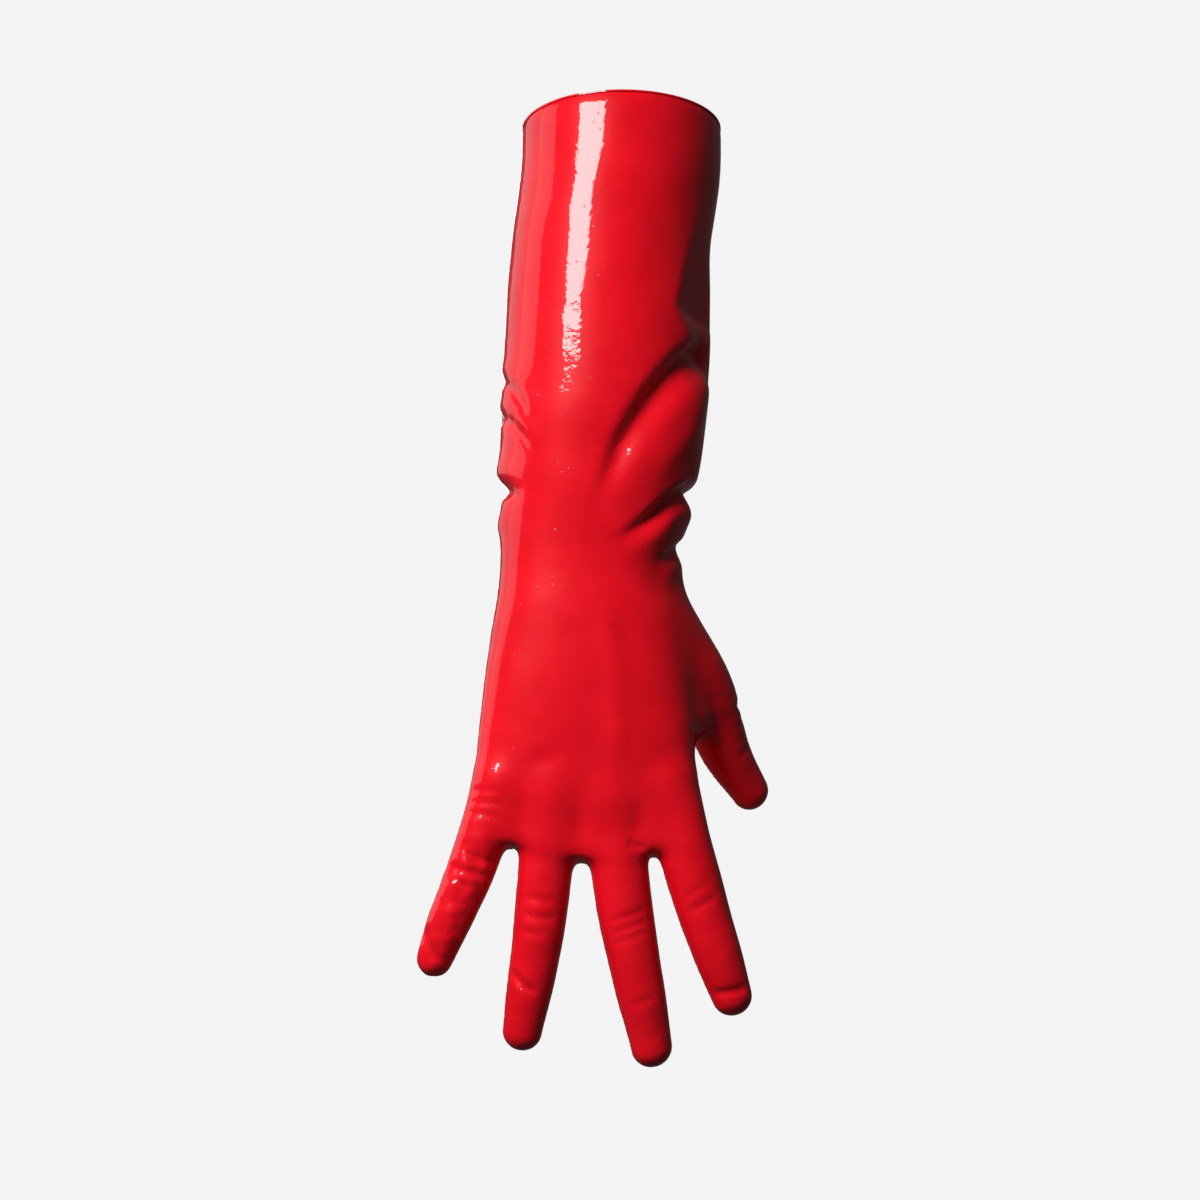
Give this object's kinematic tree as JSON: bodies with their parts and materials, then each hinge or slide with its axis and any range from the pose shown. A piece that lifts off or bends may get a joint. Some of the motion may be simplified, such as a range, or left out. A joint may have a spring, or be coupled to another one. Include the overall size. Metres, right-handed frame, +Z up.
{
  "type": "gauntlet glove",
  "caption": "Long coated glove for the right hand, with a knit liner and a round cuff, that bends at the wrist, knuckles, fingers and thumb.",
  "frame": {"origin": "centre of the round cuff's mouth, in the plane of its rim", "axes": "+Z up out of the cuff, along the sleeve; the fingers point to -Z; the back of the hand faces -Y; the thumb is at +X"},
  "size_m": [0.132, 0.0829, 0.3658],
  "materials": {
    "coating": "gloss",
    "liner": "matte knit",
    "liner_seam": "matte thread"
  },
  "bodies": {
    "gauntlet": {"gauntlet_coating": "coating", "gauntlet_liner_back": "liner", "gauntlet_liner_palm": "liner", "gauntlet_liner_seams": "liner_seam", "cuff_facing": "coating"},
    "hand": {"hand_coating": "coating", "hand_liner_back": "liner", "hand_liner_palm": "liner"},
    "knuckles": {"knuckles_coating": "coating", "knuckles_liner_back": "liner", "knuckles_liner_palm": "liner"},
    "little_mid": {"little_mid_coating": "coating", "little_mid_liner": "liner"},
    "little_end": {"little_end_coating": "coating", "little_end_liner": "liner"},
    "ring_mid": {"ring_mid_coating": "coating", "ring_mid_liner": "liner"},
    "ring_end": {"ring_end_coating": "coating", "ring_end_liner": "liner"},
    "middle_mid": {"middle_mid_coating": "coating", "middle_mid_liner": "liner"},
    "middle_end": {"middle_end_coating": "coating", "middle_end_liner": "liner"},
    "index_mid": {"index_mid_coating": "coating", "index_mid_liner": "liner"},
    "index_end": {"index_end_coating": "coating", "index_end_liner": "liner"},
    "thumb_mid": {"thumb_mid_coating": "coating", "thumb_mid_liner": "liner"},
    "thumb_end": {"thumb_end_coating": "coating", "thumb_end_liner": "liner"}
  },
  "joints": [
    {"name": "wrist_bend", "type": "hinge", "parent": "gauntlet", "child": "hand", "pos_m": [-0.0132, 0, -0.184], "axis": [1, 0, 0], "range_deg": [-35, 45], "stiffness_Nm_per_rad": 0.3},
    {"name": "knuckle_bend", "type": "hinge", "parent": "hand", "child": "knuckles", "pos_m": [-0.0147, 0, -0.268], "axis": [1, 0, 0], "range_deg": [0, 40], "stiffness_Nm_per_rad": 0.15},
    {"name": "little_bend", "type": "hinge", "parent": "knuckles", "child": "little_mid", "pos_m": [-0.0576, 0.0018, -0.297], "axis": [0.9308, -0.0037, -0.3655], "range_deg": [0, 70], "stiffness_Nm_per_rad": 0.04},
    {"name": "little_end_bend", "type": "hinge", "parent": "little_mid", "child": "little_end", "pos_m": [-0.0649, 0.005, -0.3142], "axis": [0.9323, -0.0072, -0.3616], "range_deg": [0, 35], "stiffness_Nm_per_rad": 0.03},
    {"name": "ring_bend", "type": "hinge", "parent": "knuckles", "child": "ring_mid", "pos_m": [-0.0302, 0.003, -0.308], "axis": [0.9932, -0.0041, -0.1163], "range_deg": [0, 70], "stiffness_Nm_per_rad": 0.04},
    {"name": "ring_end_bend", "type": "hinge", "parent": "ring_mid", "child": "ring_end", "pos_m": [-0.0338, 0.0085, -0.333], "axis": [0.9898, -0.0001, -0.1422], "range_deg": [0, 35], "stiffness_Nm_per_rad": 0.03},
    {"name": "middle_bend", "type": "hinge", "parent": "knuckles", "child": "middle_mid", "pos_m": [0.0016, 0.003, -0.3145], "axis": [0.9886, 0.0066, 0.1502], "range_deg": [0, 70], "stiffness_Nm_per_rad": 0.04},
    {"name": "middle_end_bend", "type": "hinge", "parent": "middle_mid", "child": "middle_end", "pos_m": [0.0066, 0.0085, -0.3395], "axis": [0.9832, 0.0035, 0.1825], "range_deg": [0, 35], "stiffness_Nm_per_rad": 0.03},
    {"name": "index_bend", "type": "hinge", "parent": "knuckles", "child": "index_mid", "pos_m": [0.0278, 0.0025, -0.3025], "axis": [0.9564, 0.0019, 0.2921], "range_deg": [0, 70], "stiffness_Nm_per_rad": 0.04},
    {"name": "index_end_bend", "type": "hinge", "parent": "index_mid", "child": "index_end", "pos_m": [0.035, 0.007, -0.325], "axis": [0.9527, 0.0002, 0.304], "range_deg": [0, 35], "stiffness_Nm_per_rad": 0.03},
    {"name": "thumb_bend", "type": "hinge", "parent": "hand", "child": "thumb_mid", "pos_m": [0.0315, 0.0185, -0.224], "axis": [0.5006, 0.5881, 0.6353], "range_deg": [0, 30], "stiffness_Nm_per_rad": 0.04},
    {"name": "thumb_end_bend", "type": "hinge", "parent": "thumb_mid", "child": "thumb_end", "pos_m": [0.0405, 0.0295, -0.2455], "axis": [0.5293, 0.6046, 0.5953], "range_deg": [0, 45], "stiffness_Nm_per_rad": 0.03}
  ],
  "couplings": [
    {"joint": "little_end_bend", "follows": "little_bend", "ratio": 0.5},
    {"joint": "ring_end_bend", "follows": "ring_bend", "ratio": 0.5},
    {"joint": "middle_end_bend", "follows": "middle_bend", "ratio": 0.5},
    {"joint": "index_end_bend", "follows": "index_bend", "ratio": 0.5},
    {"joint": "thumb_end_bend", "follows": "thumb_bend", "ratio": 1.5}
  ]
}
